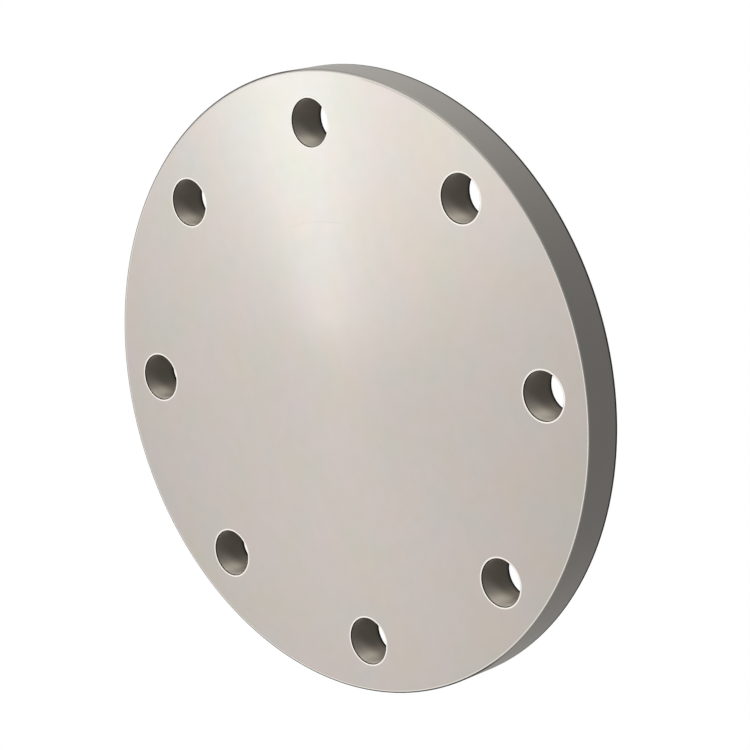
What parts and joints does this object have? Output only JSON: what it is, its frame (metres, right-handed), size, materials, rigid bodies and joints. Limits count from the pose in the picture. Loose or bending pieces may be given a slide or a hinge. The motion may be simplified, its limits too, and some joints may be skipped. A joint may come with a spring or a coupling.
{
  "type": "blind flange",
  "caption": "Flat-face blind flange: a turned steel disc that closes a pipe end, bolted through a circle of plain holes.",
  "frame": {"origin": "centre of the back face, on the disc's axis; the flange lies flat on its back face", "axes": "+Z along the disc's axis, out of the turned front face; the bolt holes straddle X and Y evenly"},
  "size_m": [0.24, 0.24, 0.016],
  "materials": {
    "turned_steel": "machined: concentric turning marks on the front face, darker turned rim, satin"
  },
  "bodies": {
    "root": {"blind_flange": "turned_steel"}
  },
  "joints": []
}
